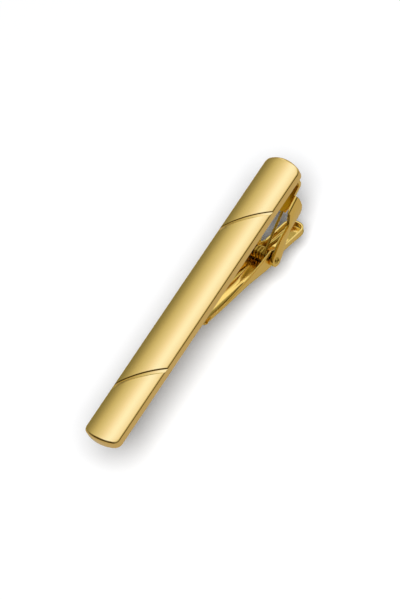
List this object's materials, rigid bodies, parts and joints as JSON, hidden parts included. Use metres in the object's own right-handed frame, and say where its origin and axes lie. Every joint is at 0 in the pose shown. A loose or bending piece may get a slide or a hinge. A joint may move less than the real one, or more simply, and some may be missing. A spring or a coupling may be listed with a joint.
{
  "type": "tie clip",
  "caption": "Gold tie clip: a crowned bar with diagonal grooves, and a sprung hooked lever with a thumb tab on a riveted bracket behind it.",
  "frame": {"origin": "middle of the bar's flat back, where a tie lies against it", "axes": "+X along the bar to the hinge end, +Z out of the crowned front face, Y across the bar"},
  "size_m": [0.0604, 0.0074, 0.0164],
  "materials": {
    "polished_gold": "polished gold plate over brass",
    "gold_sheet": "bright gold plate over folded sheet",
    "gold_pin": "bright gold plate",
    "gold_wire": "gold plated spring wire"
  },
  "bodies": {
    "clip_frame": {"front_bar": "polished_gold", "hinge_bracket": "gold_sheet", "hinge_pin": "gold_pin", "torsion_spring": "gold_wire"},
    "lever": {"clip_lever": "gold_sheet"}
  },
  "joints": [
    {"name": "lever_pivot", "type": "hinge", "parent": "clip_frame", "child": "lever", "pos_m": [0.01665, 0, -0.00972], "axis": [0, -1, 0], "range_deg": [0, 25], "stiffness_Nm_per_rad": 0.03, "springref_deg": -40.11, "deforming": ["torsion_spring"]}
  ]
}
